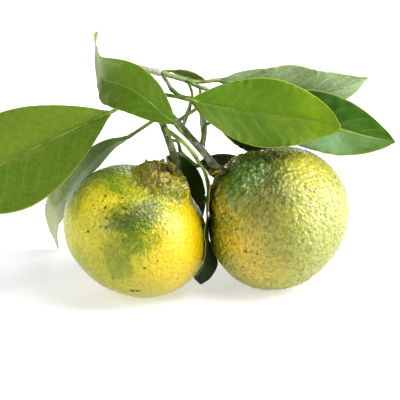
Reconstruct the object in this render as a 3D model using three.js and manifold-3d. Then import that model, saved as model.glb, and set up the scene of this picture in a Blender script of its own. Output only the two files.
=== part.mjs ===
// A cut mandarin sprig: two green-yellow mandarins that hang from one twig, with their calyxes,
// stems and leaves, lying on a surface. Each leaf is a blade on its own petiole, as on citrus.
// Millimetres, +Z up. The origin is the middle of the flat spot the right-hand mandarin rests on.
import * as THREE from "three";
import { mergeVertices } from "three/addons/utils/BufferGeometryUtils.js";
import Module from "manifold-3d";

const wasm = await Module();
wasm.setup();

// Clearances
const clearance = 0.3; // gap between two pieces that touch
const fruitGap = 1.6; // free space between the two fruits, where a leaf hangs
const leafClearance = 0.5; // least gap between a blade and a fruit
const restDepth = 0.6; // how much of each fruit's underside its flat spot takes

// The fruits. The axis points at the stem end; the pole lengths are from the centre.
const fruitRight = {
  equatorRadius: 33.2,
  stemPole: 30,
  blossomPole: 28.6,
  neckHeight: 4,
  neckAngle: 42,
  axis: vector(-0.73, -0.15, 0.66),
};
const fruitLeft = {
  equatorRadius: 32.8,
  stemPole: 28,
  blossomPole: 26.6,
  neckHeight: 5,
  neckAngle: 32,
  axis: vector(0.48, -0.12, 0.87),
};
const pairDirection = vector(-63, -8.2, 0); // from the right fruit to the left one
const fruitSides = 32;
const fruitRings = 22;
const dimpleDepth = 1.2;
const dimpleAngle = 12;

// The calyx, a five-pointed star on each stem end
const calyxRadius = 5.2;
const calyxWaist = 2.9;
const calyxThickness = 1.3;
const sepals = 5;

// Twigs and petioles
const stemRadius = 1.8;
const twigRadius = 1.45;
const leafyTwigRadius = 1.15;
const spurRadius = 0.9;
const petioleRadius = 0.95;
const tubeSides = 8;
const stemFlare = 1.35; // how much a fruit stem widens at its calyx

// Leaf blades
const bladeThickness = 0.5;
const bladeNeck = 1.0; // half width of a blade where it meets its petiole
const bladeTipWidth = 0.35; // half width at the tip
const bladeRows = 16;
const bladeColumns = 4;
const clearPasses = 8;

const hubRise = 23.8; // the fork's height over the higher fruit's top
const hubOffset = vector(-20.4, 4.1, 0); // the fork from the middle of the two calyxes, in plan

function vector(x, y, z) {
  return new THREE.Vector3(x, y, z);
}

function curveThrough(points) {
  return new THREE.CatmullRomCurve3(points, false, "catmullrom", 0.5);
}

function smooth(low, high, value) {
  return THREE.MathUtils.smoothstep(value, low, high);
}

// ---- solids ----

function solidOf(geometry) {
  const bare = geometry.clone();
  bare.deleteAttribute("normal");
  bare.deleteAttribute("uv");
  const merged = mergeVertices(bare, 1e-4);
  return new wasm.Manifold(
    new wasm.Mesh({
      numProp: 3,
      vertProperties: merged.attributes.position.array,
      triVerts: new Uint32Array(merged.index.array),
    }),
  );
}

function geometryOf(solid) {
  const mesh = solid.getMesh();
  const geometry = new THREE.BufferGeometry();
  geometry.setAttribute("position", new THREE.BufferAttribute(mesh.vertProperties, 3));
  geometry.setIndex(new THREE.BufferAttribute(mesh.triVerts, 1));
  geometry.computeVertexNormals();
  return geometry;
}

// The largest body of a cut solid: a cut along a neighbour can leave crumbs.
function mainBody(solid) {
  return solid.decompose().sort((a, b) => b.volume() - a.volume())[0];
}

function mapVertices(geometry, place) {
  const position = geometry.attributes.position;
  const point = vector(0, 0, 0);
  for (let i = 0; i < position.count; i++) {
    point.fromBufferAttribute(position, i);
    const placed = place(point);
    position.setXYZ(i, placed.x, placed.y, placed.z);
  }
  return geometry;
}

// ---- the fruits ----

// Distance from a fruit's centre to its skin, for a direction in the fruit's own frame (+Z is its axis).
function skinRadius(fruit, direction) {
  const up = direction.z;
  const out = Math.sqrt(Math.max(0, 1 - up * up));
  const pole = up > 0 ? fruit.stemPole : fruit.blossomPole;
  const body = 1 / Math.hypot(out / fruit.equatorRadius, up / pole);
  const angle = THREE.MathUtils.radToDeg(Math.acos(up));
  const neck = fruit.neckHeight * (1 - smooth(fruit.neckAngle * 0.45, fruit.neckAngle, angle));
  const dimple = dimpleDepth * Math.exp(-(((180 - angle) / dimpleAngle) ** 2));
  return body + neck - dimple;
}

function skinToward(fruit, direction) {
  return skinRadius(fruit, direction.clone().applyQuaternion(fruit.unturn));
}

// The fruit stands so that the plane of the surface takes restDepth off its underside.
function standFruit(fruit) {
  fruit.axis.normalize();
  fruit.turn = new THREE.Quaternion().setFromUnitVectors(vector(0, 0, 1), fruit.axis);
  fruit.unturn = fruit.turn.clone().invert();
  const equator = fruit.equatorRadius ** 2;
  const pole = fruit.blossomPole ** 2;
  const reach = Math.sqrt(equator * (1 - fruit.axis.z ** 2) + pole * fruit.axis.z ** 2);
  // A tilted flattened fruit touches the surface to one side of its centre.
  const aside = ((equator - pole) * fruit.axis.z) / reach;
  fruit.centre = vector(-fruit.axis.x * aside, -fruit.axis.y * aside, reach - restDepth);
  fruit.top = fruit.centre.z + skinToward(fruit, vector(0, 0, 1));
  return fruit;
}

function polePoint(fruit, height) {
  const reach = skinRadius(fruit, vector(0, 0, 1)) + height;
  return fruit.centre.clone().addScaledVector(fruit.axis, reach);
}

function besideFruit(fruit, direction, gap) {
  const out = direction.clone().normalize();
  return fruit.centre.clone().addScaledVector(out, skinToward(fruit, out) + gap);
}

function makeFruit(fruit, name, material) {
  const ball = new THREE.SphereGeometry(1, fruitSides, fruitRings);
  ball.rotateX(Math.PI / 2);
  mapVertices(ball, (p) => p.clone().multiplyScalar(skinRadius(fruit, p.clone().normalize())));
  ball.applyQuaternion(fruit.turn);
  const slab = new THREE.BoxGeometry(200, 200, 100);
  slab.translate(0, 0, -fruit.centre.z - 50);
  const mesh = new THREE.Mesh(geometryOf(solidOf(ball).subtract(solidOf(slab))), material);
  mesh.name = name;
  mesh.position.copy(fruit.centre);
  return mesh;
}

function makeCalyx(fruit, name, material) {
  const star = new THREE.Shape();
  const corners = sepals * 2;
  for (let i = 0; i < corners; i++) {
    const angle = (i / corners) * 2 * Math.PI;
    const reach = i % 2 ? calyxWaist : calyxRadius;
    star[i ? "lineTo" : "moveTo"](reach * Math.cos(angle), reach * Math.sin(angle));
  }
  star.closePath();
  const geometry = new THREE.ExtrudeGeometry(star, { depth: calyxThickness, bevelEnabled: false });
  const mesh = new THREE.Mesh(geometry, material);
  mesh.name = name;
  mesh.position.copy(polePoint(fruit, clearance));
  mesh.quaternion.copy(fruit.turn);
  return mesh;
}

// ---- twigs and petioles ----

// A round closed tube along a curve, whose radius is a function of the share of its length.
function tube(curve, radiusAt, steps) {
  const frames = curve.computeFrenetFrames(steps);
  const rod = new THREE.CylinderGeometry(1, 1, 1, tubeSides, steps);
  return mapVertices(rod, (p) => {
    const share = p.y + 0.5;
    const step = Math.round(share * steps);
    const radius = radiusAt(share);
    return curve
      .getPointAt(step / steps)
      .addScaledVector(frames.normals[step], -p.x * radius)
      .addScaledVector(frames.binormals[step], p.z * radius);
  });
}

function makeTwig(points, startRadius, endRadius, steps) {
  const curve = curveThrough(points);
  const radiusAt = (share) => THREE.MathUtils.lerp(startRadius, endRadius, share);
  const solid = solidOf(tube(curve, radiusAt, steps));
  const sleeve = solidOf(tube(curve, (share) => radiusAt(share) + clearance, steps));
  return { curve, solid, sleeve };
}

// A twig that grows out of others is cut back to a clearance from each of them.
function cutFrom(twig, ...parents) {
  for (const parent of parents) twig.solid = twig.solid.subtract(parent.sleeve);
  twig.solid = mainBody(twig.solid);
  return twig;
}

function twigMesh(twig, name, material) {
  const start = twig.curve.getPointAt(0);
  const geometry = geometryOf(twig.solid);
  geometry.translate(-start.x, -start.y, -start.z);
  const mesh = new THREE.Mesh(geometry, material);
  mesh.name = name;
  mesh.position.copy(start);
  return mesh;
}

// ---- leaf blades ----

// Half width of a blade at a share of its length. "widest" is the share where it is widest.
function halfWidth(leaf, share) {
  const power = Math.log(0.5) / Math.log(leaf.widest ?? 0.45);
  const swell = Math.sin(Math.PI * share ** power) ** (leaf.fullness ?? 0.85);
  const least = THREE.MathUtils.lerp(bladeNeck, bladeTipWidth, share);
  return Math.max(least, (leaf.width / 2) * swell);
}

// The way a blade's upper side faces. The given faces are spread evenly over the points of its spine.
function faceAt(leaf, curve, share, tangent) {
  const last = leaf.face.length - 1;
  const place = Math.min(curve.getUtoTmapping(share) * last, last - 1e-6);
  const from = Math.floor(place);
  const face = leaf.face[from].clone().lerp(leaf.face[from + 1], place - from);
  return face.addScaledVector(tangent, -face.dot(tangent)).normalize();
}

// Moves a point of a blade's middle surface out of the fruits and off the surface below.
function keepClear(point, fruits, layer) {
  const margin = leafClearance + layer + bladeThickness / 2;
  // Between two fruits a move away from one can come too near the other, so the moves are repeated.
  for (let pass = 0; pass < clearPasses; pass++) {
    for (const fruit of fruits) {
      const out = point.clone().sub(fruit.centre);
      const reach = skinToward(fruit, out.clone().normalize()) + margin;
      if (out.length() < reach) point.copy(fruit.centre).addScaledVector(out.normalize(), reach);
    }
  }
  point.z = Math.max(point.z, bladeThickness / 2);
  return point;
}

function makeBlade(leaf, spine, fruits, material) {
  const curve = curveThrough(spine);
  const rows = leaf.rows ?? bladeRows;
  const slab = new THREE.BoxGeometry(1, 2, 1, rows, bladeColumns, 1);
  const fold = THREE.MathUtils.degToRad(leaf.fold ?? 8);
  mapVertices(slab, (p) => {
    const share = p.x + 0.5;
    const tangent = curve.getTangentAt(share);
    const face = faceAt(leaf, curve, share, tangent);
    const across = face.clone().cross(tangent);
    if (leaf.upright) {
      // From this share on, past a fold, the blade's rows stand upright.
      across.lerp(vector(0, 0, -1), smooth(leaf.upright, leaf.upright + 0.08, share)).normalize();
      face.copy(tangent).cross(across).normalize();
    }
    const half = halfWidth(leaf, share);
    const rise = half * (Math.hypot(p.y, 0.15) - 0.15) * Math.sin(fold);
    const wave = (leaf.wave ?? 0) * p.y ** 2 * Math.sin(2 * Math.PI * (leaf.waves ?? 2) * share + p.y);
    const middle = curve
      .getPointAt(share)
      .addScaledVector(across, p.y * half * Math.cos(fold))
      .addScaledVector(face, rise + wave);
    return keepClear(middle, fruits, leaf.layer ?? 0).addScaledVector(face, p.z * bladeThickness);
  });
  const start = spine[0];
  slab.translate(-start.x, -start.y, -start.z);
  const mesh = new THREE.Mesh(slab, material);
  mesh.name = "leaf_" + leaf.name;
  mesh.position.copy(start);
  return mesh;
}

// ---- materials ----

function matt(color, roughness) {
  return new THREE.MeshStandardMaterial({ color, roughness, metalness: 0 });
}
const skinMaterial = matt("#b9b52c", 0.42);
const calyxMaterial = matt("#7c8a3a", 0.7);
const barkMaterial = matt("#7c8468", 0.8);
const greenTwigMaterial = matt("#5f7a38", 0.6);
const petioleMaterial = matt("#6d8a35", 0.55);
const bladeMaterial = matt("#5b8526", 0.4);

// ---- the assembly ----

const sprig = new THREE.Group();
sprig.name = "mandarin_sprig";

standFruit(fruitRight);
standFruit(fruitLeft);
// The least space between the fruits, over the part of the right fruit's skin that faces the left one.
function leastSpace(line) {
  const aside = line.clone().cross(vector(0, 0, 1)).normalize();
  const above = aside.clone().cross(line);
  let least = Infinity;
  for (let i = -8; i <= 8; i++) {
    for (let j = -8; j <= 8; j++) {
      const out = line.clone().addScaledVector(aside, i / 10).addScaledVector(above, j / 10);
      const across = besideFruit(fruitRight, out, 0).sub(fruitLeft.centre);
      const space = across.length() - skinToward(fruitLeft, across.clone().normalize());
      least = Math.min(least, space);
    }
  }
  return least;
}

// The left fruit is slid along the surface until the space between the two is fruitGap.
const apart = pairDirection.clone().normalize();
fruitLeft.centre.setX(fruitRight.centre.x).setY(fruitRight.centre.y);
fruitLeft.centre.addScaledVector(apart, fruitRight.equatorRadius + fruitLeft.equatorRadius);
const line = vector(0, 0, 0);
for (let pass = 0; pass < 12; pass++) {
  line.copy(fruitLeft.centre).sub(fruitRight.centre).normalize();
  fruitLeft.centre.addScaledVector(apart, fruitGap - leastSpace(line));
}
const fruits = [fruitRight, fruitLeft];

sprig.add(makeFruit(fruitRight, "mandarin_right", skinMaterial));
sprig.add(makeFruit(fruitLeft, "mandarin_left", skinMaterial));
sprig.add(makeCalyx(fruitRight, "calyx_right", calyxMaterial));
sprig.add(makeCalyx(fruitLeft, "calyx_left", calyxMaterial));

// The fork, where the two fruit stems part, is the sprig's own origin.
const calyxTop = clearance + calyxThickness + clearance;
const rightFoot = polePoint(fruitRight, calyxTop);
const leftFoot = polePoint(fruitLeft, calyxTop);
const hub = rightFoot.clone().add(leftFoot).multiplyScalar(0.5).add(hubOffset);
hub.z = Math.max(fruitRight.top, fruitLeft.top) + hubRise;
const at = (x, y, z) => hub.clone().add(vector(x, y, z));

const mainTwig = makeTwig([at(-19, 7, 16), at(-7, 6, 13.2), at(5.2, 5, 10.9)], twigRadius * 1.1, twigRadius, 10);
const leafyTwig = makeTwig(
  [at(5.6, 5, 10.7), at(12.5, 6, 8.4), at(16, 7, 7.2), at(20.7, 9, 4.3), at(25, 11, 2.4)],
  leafyTwigRadius * 1.15,
  leafyTwigRadius * 0.8,
  10,
);
const fruitingTwig = makeTwig([at(-11.2, 6.4, 14.2), at(-6.4, 3, 7.2), at(0, 0, 0)], twigRadius, twigRadius, 8);
const rightStem = makeTwig(
  [
    at(0.4, 0, -0.2),
    at(5.7, 0, -3.3),
    at(12, 0, -10.2),
    at(17.2, 0, -16.2),
    at(22.5, 0, -22.2),
    rightFoot.clone().addScaledVector(fruitRight.axis, 4),
    rightFoot,
  ],
  stemRadius * 0.9,
  stemRadius * stemFlare,
  14,
);
const leftStem = makeTwig(
  [
    at(0, 0, 0),
    at(3.5, -3, -4.6),
    at(6.5, -5, -11.2),
    leftFoot.clone().addScaledVector(fruitLeft.axis, 3),
    leftFoot,
  ],
  stemRadius * 0.9,
  stemRadius * stemFlare,
  14,
);
const backTwig = makeTwig(
  [at(11.7, 0, -9.8), at(15.8, 0, -6.9), at(19, 0.6, -4.9), at(22, 1.2, -2.6)],
  spurRadius,
  spurRadius * 0.9,
  6,
);
const spur = makeTwig([at(5, 5, 11), at(8, 5, 6.4), at(9.8, 6, 2.3)], spurRadius, spurRadius * 0.8, 5);
cutFrom(leafyTwig, mainTwig);
cutFrom(fruitingTwig, mainTwig);
cutFrom(rightStem, fruitingTwig);
cutFrom(leftStem, fruitingTwig, rightStem);
cutFrom(spur, mainTwig, leafyTwig);
cutFrom(backTwig, rightStem);

const twigs = [mainTwig, leafyTwig, fruitingTwig, rightStem, leftStem, spur, backTwig];

sprig.add(twigMesh(mainTwig, "twig_main", barkMaterial));
sprig.add(twigMesh(leafyTwig, "twig_leafy", greenTwigMaterial));
sprig.add(twigMesh(fruitingTwig, "twig_fruiting", barkMaterial));
sprig.add(twigMesh(rightStem, "fruit_stem_right", barkMaterial));
sprig.add(twigMesh(leftStem, "fruit_stem_left", barkMaterial));
sprig.add(twigMesh(spur, "twig_spur", greenTwigMaterial));
sprig.add(twigMesh(backTwig, "twig_back", greenTwigMaterial));

// Each leaf grows from a twig at a share of its length. Its petiole runs from there through "petiole"
// to the joint, the first point of "blade". "face" is where the upper side looks, from base to tip.
const gapMiddle = besideFruit(fruitRight, line, fruitGap / 2);
const inGap = (y, height, x = 0) => vector(gapMiddle.x + x, y, height);
const onSurface = (x, y) => vector(x, y, bladeThickness / 2);
const leftSide = fruitLeft.centre.x - fruitLeft.equatorRadius;
const leaves = [
  {
    name: "curled_top", twig: rightStem, share: 0.53, radius: 0.85,
    petiole: [at(13.6, -7, -12.2)],
    blade: [
      at(11, -11, -7.6), at(3, -12, -0.5), at(-2.5, -13, 4.5), at(-8.5, -13, 8.2), at(-14.8, -12, 10.2),
      at(-19, -10, 10.6), at(-20.3, -7, 13.9), at(-21.3, -4, 17), at(-22.3, -1.5, 21), at(-22.7, 0.5, 24.5),
      at(-21.7, 2, 29),
    ],
    width: 21, widest: 0.5, fullness: 0.7, rows: 24, fold: 6, upright: 0.54,
    face: [
      vector(0.2, -0.95, 0.3), vector(0.05, -0.95, 0.3), vector(0, -0.95, 0.25), vector(0, -0.98, 0.2),
      vector(-0.05, -1, -0.1), vector(-0.3, -0.95, 0), vector(-0.9, -0.3, 0), vector(-0.97, -0.1, 0),
      vector(-0.97, -0.1, 0), vector(-0.97, -0.1, 0), vector(-0.97, -0.1, 0),
    ],
  },
  {
    name: "front_right", twig: fruitingTwig, share: 0.82,
    petiole: [at(7.5, -2, 2.6)],
    blade: [
      at(18.3, -5, 0.9), at(27.7, -4, -1.7), at(41.5, -2, -4.5), at(56.7, 0, -6.6), at(70.7, 0, -8.9),
      at(82.5, -3, -11.8),
    ],
    width: 31, widest: 0.5, fullness: 0.72, fold: 5, wave: 0.6,
    face: [vector(0, -0.85, 0.5), vector(0.05, -0.9, 0.42)],
  },
  {
    name: "far_right", twig: spur, share: 0.85, steps: 9,
    petiole: [at(13.3, 7, 0.3), at(18, 11, -1.6)],
    blade: [
      at(24.2, 14, -4), at(38, 15.5, -7), at(54, 16, -10), at(72, 16, -13), at(86, 16, -17),
      at(97.5, 15, -20), at(109.3, 13, -22),
    ],
    width: 30.5, widest: 0.62, fullness: 0.8, fold: 9,
    face: [vector(0.1, -0.8, 0.6), vector(0.3, -0.75, 0.6)],
  },
  {
    name: "back_right", twig: leafyTwig, share: 0.5,
    petiole: [at(21.6, 10, 5.9)],
    blade: [
      at(30, 14, 6), at(36, 17, 4.6), at(48, 23, 1.6), at(60, 27, -0.6), at(74, 29, -2.3), at(86, 29.5, -1),
      at(98.6, 30, 4),
    ],
    width: 25, widest: 0.52, fullness: 0.8, fold: 8, wave: 0.7, waves: 3,
    face: [vector(-0.05, 0.92, 0.4), vector(-0.1, 0.9, 0.45)],
  },
  {
    name: "wide_left", twig: leftStem, share: 0.16, radius: 0.85,
    petiole: [at(-8, 0.5, -1.5)],
    blade: [
      at(-17, -1, -5.4), at(-27.3, -2, -10), at(-46.1, -6, -18.3), at(-64.2, -10, -26.5),
      at(-88, -15, -37.5),
    ],
    width: 44, widest: 0.6, fullness: 0.62, fold: 7,
    face: [vector(-0.1, 0.9, -0.4), vector(-0.1, 0.85, -0.5)],
  },
  {
    name: "drooping_left", twig: leftStem, share: 0.26, radius: 0.85,
    petiole: [at(-3.4, 1.5, -12.8)],
    blade: [
      at(-9.9, 3, -17.4), at(-19.2, 7, -23.1), at(-29.5, 15, -34.5), at(-39.5, 29, -50),
      onSurface(leftSide - 8, 34).setZ(24), onSurface(leftSide - 9.8, 39).setZ(14),
      onSurface(leftSide - 8.4, 44).setZ(1.2),
    ],
    width: 18, widest: 0.56, fullness: 0.62, fold: 10,
    face: [vector(-0.3, -0.7, 0.6), vector(-0.35, -0.8, 0.5), vector(-0.9, -0.45, 0.2)],
  },
  {
    name: "between_fruits", twig: leftStem, share: 0.42, radius: 1, steps: 9,
    petiole: [at(10.6, -9.3, -13.2), at(15.4, -11.2, -16.6)],
    blade: [
      at(20.2, -10.4, -22.8), inGap(-10, 53), inGap(-9, 43), inGap(-7, 28), inGap(-5.5, 14, -1),
      inGap(-5, 1.5, -3),
    ],
    width: 21, widest: 0.7, fullness: 0.7, fold: 4,
    face: [
      vector(1, 0.1, 0), vector(1, 0.1, 0), vector(1, 0, 0), vector(0.95, -0.3, 0), vector(0.8, -0.6, 0),
      vector(0.35, -0.93, 0.1),
    ],
  },
  {
    name: "behind_right", twig: rightStem, share: 0.68, radius: 0.85,
    petiole: [at(23, 3.8, -17.8), at(24, 6.6, -13)],
    blade: [
      at(27.8, 10, -11.9), at(33.3, 14.5, -14.6), at(42.2, 20, -19.5), at(52, 27, -26), at(60, 34, -34),
    ],
    width: 19, widest: 0.5, fullness: 0.75, fold: 6,
    face: [vector(0.1, -0.85, 0.5), vector(0.1, -0.75, 0.65), vector(0.2, -0.3, 0.95)],
  },
  {
    name: "low_back", twig: leftStem, share: 0.74, radius: 0.85,
    petiole: [at(15, 3, -25.7)],
    blade: [
      at(20.2, 13, -33), at(25.2, 20, -35.2), at(32.8, 29, -38.5), at(42.8, 37, -43), at(54.9, 42, -50),
    ],
    width: 14, widest: 0.5, fullness: 0.8, fold: 6,
    face: [vector(-0.6, -0.75, 0.3), vector(0, -0.9, 0.3)],
  },
  {
    name: "gap_back", twig: leftStem, share: 0.58, radius: 0.8,
    petiole: [at(11.9, 4, -19.5)],
    blade: [at(13, 9, -25), at(13.5, 14, -36.5), at(17, 20, -53), at(19.5, 25, -71)],
    width: 20, widest: 0.5, fullness: 0.8, fold: 6,
    face: [vector(0.75, -0.65, 0), vector(0.6, -0.8, 0)],
  },
  {
    name: "upper_back", twig: leafyTwig, share: 0.93, radius: 0.75,
    petiole: [],
    blade: [at(30, 16, -1), at(37, 23.5, -6), at(48, 30, -12.5), at(59, 34, -20)],
    width: 13, widest: 0.45, fullness: 0.8, fold: 8,
    face: [vector(-0.2, 0.2, 0.95), vector(0.1, 0.2, 0.97)],
  },
  {
    name: "narrow_top", twig: mainTwig, share: 0.93, radius: 0.7, rows: 10,
    petiole: [],
    blade: [at(9, 10.5, 10.8), at(12, 12.5, 9.8), at(16.3, 14.5, 8), at(20.7, 16, 6.2), at(24, 18, 5.2)],
    width: 8, widest: 0.5, fullness: 0.8, fold: 8,
    face: [vector(0.1, 0.6, 0.8), vector(0.3, 0.6, 0.75)],
  },
  {
    name: "small_hanging", twig: leafyTwig, share: 0.56, radius: 0.7, rows: 10,
    petiole: [at(18.5, 6.5, 1.5)],
    blade: [at(18, 5, -2), at(16.8, 5.5, -5), at(15.4, 6.5, -9), at(14.5, 8, -14)],
    width: 6, widest: 0.5, fullness: 0.8, fold: 8,
    face: [vector(0.9, -0.4, 0.1), vector(0.9, -0.4, 0.1)],
  },
  {
    name: "hanging", twig: leafyTwig, share: 0.84, radius: 0.7, rows: 12,
    petiole: [],
    blade: [at(22, 10, -4), at(22.3, 12, -10), at(23.2, 14.5, -16.5), at(23.8, 16, -25)],
    width: 10, widest: 0.5, fullness: 0.8, fold: 8,
    face: [vector(0.95, -0.25, 0.1), vector(0.95, -0.25, 0.1)],
  },
];

const bladeSolids = [];
for (const leaf of leaves) {
  const [joint, ...rest] = leaf.blade;
  const root = leaf.twig.curve.getPointAt(leaf.share);
  const radius = leaf.radius ?? petioleRadius;
  const petiole = makeTwig([root, ...leaf.petiole, joint], radius, radius * 0.85, leaf.steps ?? 7);
  cutFrom(petiole, ...twigs);
  const onward = petiole.curve.getTangentAt(1);
  const spine = [joint.clone().addScaledVector(onward, clearance * 1.8), ...rest];
  sprig.add(twigMesh(petiole, "petiole_" + leaf.name, petioleMaterial));
  bladeSolids.push(makeBlade(leaf, spine, fruits, bladeMaterial));
}
for (const blade of bladeSolids) sprig.add(blade);

export default sprig;
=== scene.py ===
import math

import bpy
import bmesh
import numpy as np
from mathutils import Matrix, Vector, noise


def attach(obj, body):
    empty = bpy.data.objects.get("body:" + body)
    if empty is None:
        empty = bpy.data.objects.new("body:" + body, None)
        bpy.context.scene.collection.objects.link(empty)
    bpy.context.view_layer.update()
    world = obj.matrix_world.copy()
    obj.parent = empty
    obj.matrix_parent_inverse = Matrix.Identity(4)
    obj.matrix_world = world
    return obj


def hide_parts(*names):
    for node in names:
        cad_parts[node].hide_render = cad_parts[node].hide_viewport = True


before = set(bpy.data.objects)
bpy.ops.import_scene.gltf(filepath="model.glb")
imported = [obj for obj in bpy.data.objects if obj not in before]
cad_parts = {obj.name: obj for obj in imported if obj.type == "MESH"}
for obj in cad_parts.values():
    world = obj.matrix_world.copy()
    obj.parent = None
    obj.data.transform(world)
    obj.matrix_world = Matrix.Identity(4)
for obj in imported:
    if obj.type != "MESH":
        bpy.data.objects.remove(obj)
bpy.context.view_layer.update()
bpy.ops.object.select_all(action="DESELECT")
print("frame loaded,", len(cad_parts), "nodes")

mm = 0.001


cameraValues = {
    "place": (-0.03105, -0.47485, 0.18493),
    "tilt": 73,  # degrees from looking straight down
    "lens": 100,
}


def addCamera(values):
    bpy.ops.object.camera_add(location=values["place"], rotation=(math.radians(values["tilt"]), 0, 0))
    camera = bpy.context.object
    camera.name = "camera"
    camera.data.lens = values["lens"]
    camera.data.sensor_width = 36
    camera.data.clip_start = 0.02
    bpy.context.scene.camera = camera


addCamera(cameraValues)
print("camera set")


# A shader socket that can be used in plain sums
class Wire:
    def __init__(self, sheet, socket):
        self.sheet = sheet
        self.socket = socket

    def __add__(self, other):
        return self.sheet.sum("ADD", self, other)

    def __radd__(self, other):
        return self.sheet.sum("ADD", other, self)

    def __sub__(self, other):
        return self.sheet.sum("SUBTRACT", self, other)

    def __rsub__(self, other):
        return self.sheet.sum("SUBTRACT", other, self)

    def __mul__(self, other):
        return self.sheet.sum("MULTIPLY", self, other)

    def __rmul__(self, other):
        return self.sheet.sum("MULTIPLY", other, self)

    def __abs__(self):
        return self.sheet.sum("ABSOLUTE", self, 0)


# One material's node sheet
class Sheet:
    def __init__(self, name):
        self.material = bpy.data.materials.new(name)
        self.material.use_nodes = True
        self.nodes = self.material.node_tree.nodes
        self.links = self.material.node_tree.links
        self.nodes.clear()

    def add(self, kind, settings=None, sockets=None, output=0):
        node = self.nodes.new(kind)
        for key, value in (settings or {}).items():
            setattr(node, key, value)
        for key, value in (sockets or {}).items():
            socket = self.find(node.inputs, key)
            if isinstance(value, Wire):
                self.links.new(value.socket, socket)
            else:
                socket.default_value = value
        return Wire(self, self.find(node.outputs, output))

    def find(self, sockets, key):
        if isinstance(key, int):
            return sockets[key]
        for socket in sockets:
            if socket.identifier == key:
                return socket
        return sockets[key]

    def sum(self, operation, first, second):
        return self.add("ShaderNodeMath", {"operation": operation}, {0: first, 1: second})

    def place(self):
        return self.add("ShaderNodeTexCoord", output="Object")

    def uv(self):
        flat = self.add("ShaderNodeTexCoord", output="UV")
        node = self.nodes.new("ShaderNodeSeparateXYZ")
        self.links.new(flat.socket, node.inputs[0])
        return Wire(self, node.outputs[0]), Wire(self, node.outputs[1])

    # 0 below low, 1 above high, smooth between
    def step(self, value, low, high):
        return self.add(
            "ShaderNodeMapRange",
            {"interpolation_type": "SMOOTHSTEP"},
            {"Value": value, "From Min": low, "From Max": high, "To Min": 0.0, "To Max": 1.0},
            output="Result",
        )

    def mix(self, factor, first, second, blend="MIX"):
        return self.add(
            "ShaderNodeMix",
            {"data_type": "RGBA", "blend_type": blend, "clamp_factor": True},
            {"Factor_Float": factor, "A_Color": first, "B_Color": second},
            output="Result_Color",
        )

    def noise(self, place, scale, detail=2, roughness=0.5, output="Fac"):
        return self.add(
            "ShaderNodeTexNoise",
            {"noise_dimensions": "3D"},
            {"Vector": place, "Scale": scale, "Detail": detail, "Roughness": roughness},
            output=output,
        )

    def cells(self, place, scale, feature="F1"):
        return self.add(
            "ShaderNodeTexVoronoi",
            {"feature": feature, "voronoi_dimensions": "3D"},
            {"Vector": place, "Scale": scale},
            output="Distance",
        )

    # places pushed about by noise, so that patches get ragged edges
    def stirred(self, place, scale, reach):
        push = self.noise(place, scale, 3, 0.6, output="Color")
        middle = self.add("ShaderNodeVectorMath", {"operation": "SUBTRACT"}, {0: push, 1: (0.5, 0.5, 0.5)})
        push = self.add("ShaderNodeVectorMath", {"operation": "SCALE"}, {0: middle, "Scale": reach})
        return self.add("ShaderNodeVectorMath", {"operation": "ADD"}, {0: place, 1: push})

    # 1 inside a round patch at a point in millimetres, 0 outside
    def patch(self, place, point, radius, soft):
        middle = tuple(value * mm for value in point)
        apart = {0: place, 1: middle}
        reach = self.add("ShaderNodeVectorMath", {"operation": "DISTANCE"}, apart, output="Value")
        return 1 - self.step(reach, (radius - soft) * mm, (radius + soft) * mm)

    def finish(self, colour, roughness, height=None, bump=(0.5, 0.0005), **constants):
        sockets = {"Base Color": colour, "Roughness": roughness}
        if height is not None:
            strength, distance = bump
            bumps = {"Strength": strength, "Distance": distance, "Height": height}
            sockets["Normal"] = self.add("ShaderNodeBump", None, bumps, output="Normal")
        names = {
            "coat": "Coat Weight",
            "coatRoughness": "Coat Roughness",
            "gloss": "Specular IOR Level",
            "glow": "Subsurface Weight",
            "glowReach": "Subsurface Scale",
            "shine": "Emission Color",
            "shineStrength": "Emission Strength",
            "glossTint": "Specular Tint",
        }
        sockets.update({names[key]: value for key, value in constants.items()})
        shader = self.add("ShaderNodeBsdfPrincipled", None, sockets, output="BSDF")
        out = self.nodes.new("ShaderNodeOutputMaterial")
        self.links.new(shader.socket, out.inputs["Surface"])
        return self.material


# A colour code such as "c2ba18" as the numbers a shader takes
def paint(code):
    parts = [int(code[i : i + 2], 16) / 255 for i in (0, 2, 4)]
    return tuple(p / 12.92 if p <= 0.04045 else ((p + 0.055) / 1.055) ** 2.4 for p in parts) + (1.0,)


def readPoints(piece):
    points = np.empty(len(piece.data.vertices) * 3)
    piece.data.vertices.foreach_get("co", points)
    return points.reshape(-1, 3)


def writePoints(piece, points):
    piece.data.vertices.foreach_set("co", points.ravel())
    piece.data.update()


def readNormals(piece):
    normals = np.empty(len(piece.data.vertices) * 3)
    piece.data.vertices.foreach_get("normal", normals)
    return normals.reshape(-1, 3)


def ease(low, high, value):
    t = np.clip((value - low) / (high - low), 0, 1)
    return t * t * (3 - 2 * t)


def applyModifier(piece, kind, **settings):
    modifier = piece.modifiers.new(kind.lower(), kind)
    for key, value in settings.items():
        setattr(modifier, key, value)
    bpy.context.view_layer.objects.active = piece
    bpy.ops.object.modifier_apply(modifier=modifier.name)


def subdivide(piece, levels):
    applyModifier(piece, "SUBSURF", levels=levels, render_levels=levels)


def pickOnly(piece):
    bpy.ops.object.select_all(action="DESELECT")
    piece.select_set(True)
    bpy.context.view_layer.objects.active = piece


def applyPlace(piece):
    pickOnly(piece)
    bpy.ops.object.transform_apply(location=True, rotation=True, scale=True)
    piece.select_set(False)


def smooth(piece):
    pickOnly(piece)
    bpy.ops.object.shade_smooth()
    piece.select_set(False)


def aboveFloor(points):
    points[:, 2] = np.maximum(points[:, 2], 0)
    return points


def dress(piece, *materials):
    piece.data.materials.clear()
    for material in materials:
        piece.data.materials.append(material)


def settle(piece, node):
    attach(piece, "root")
    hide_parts(node)


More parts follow.
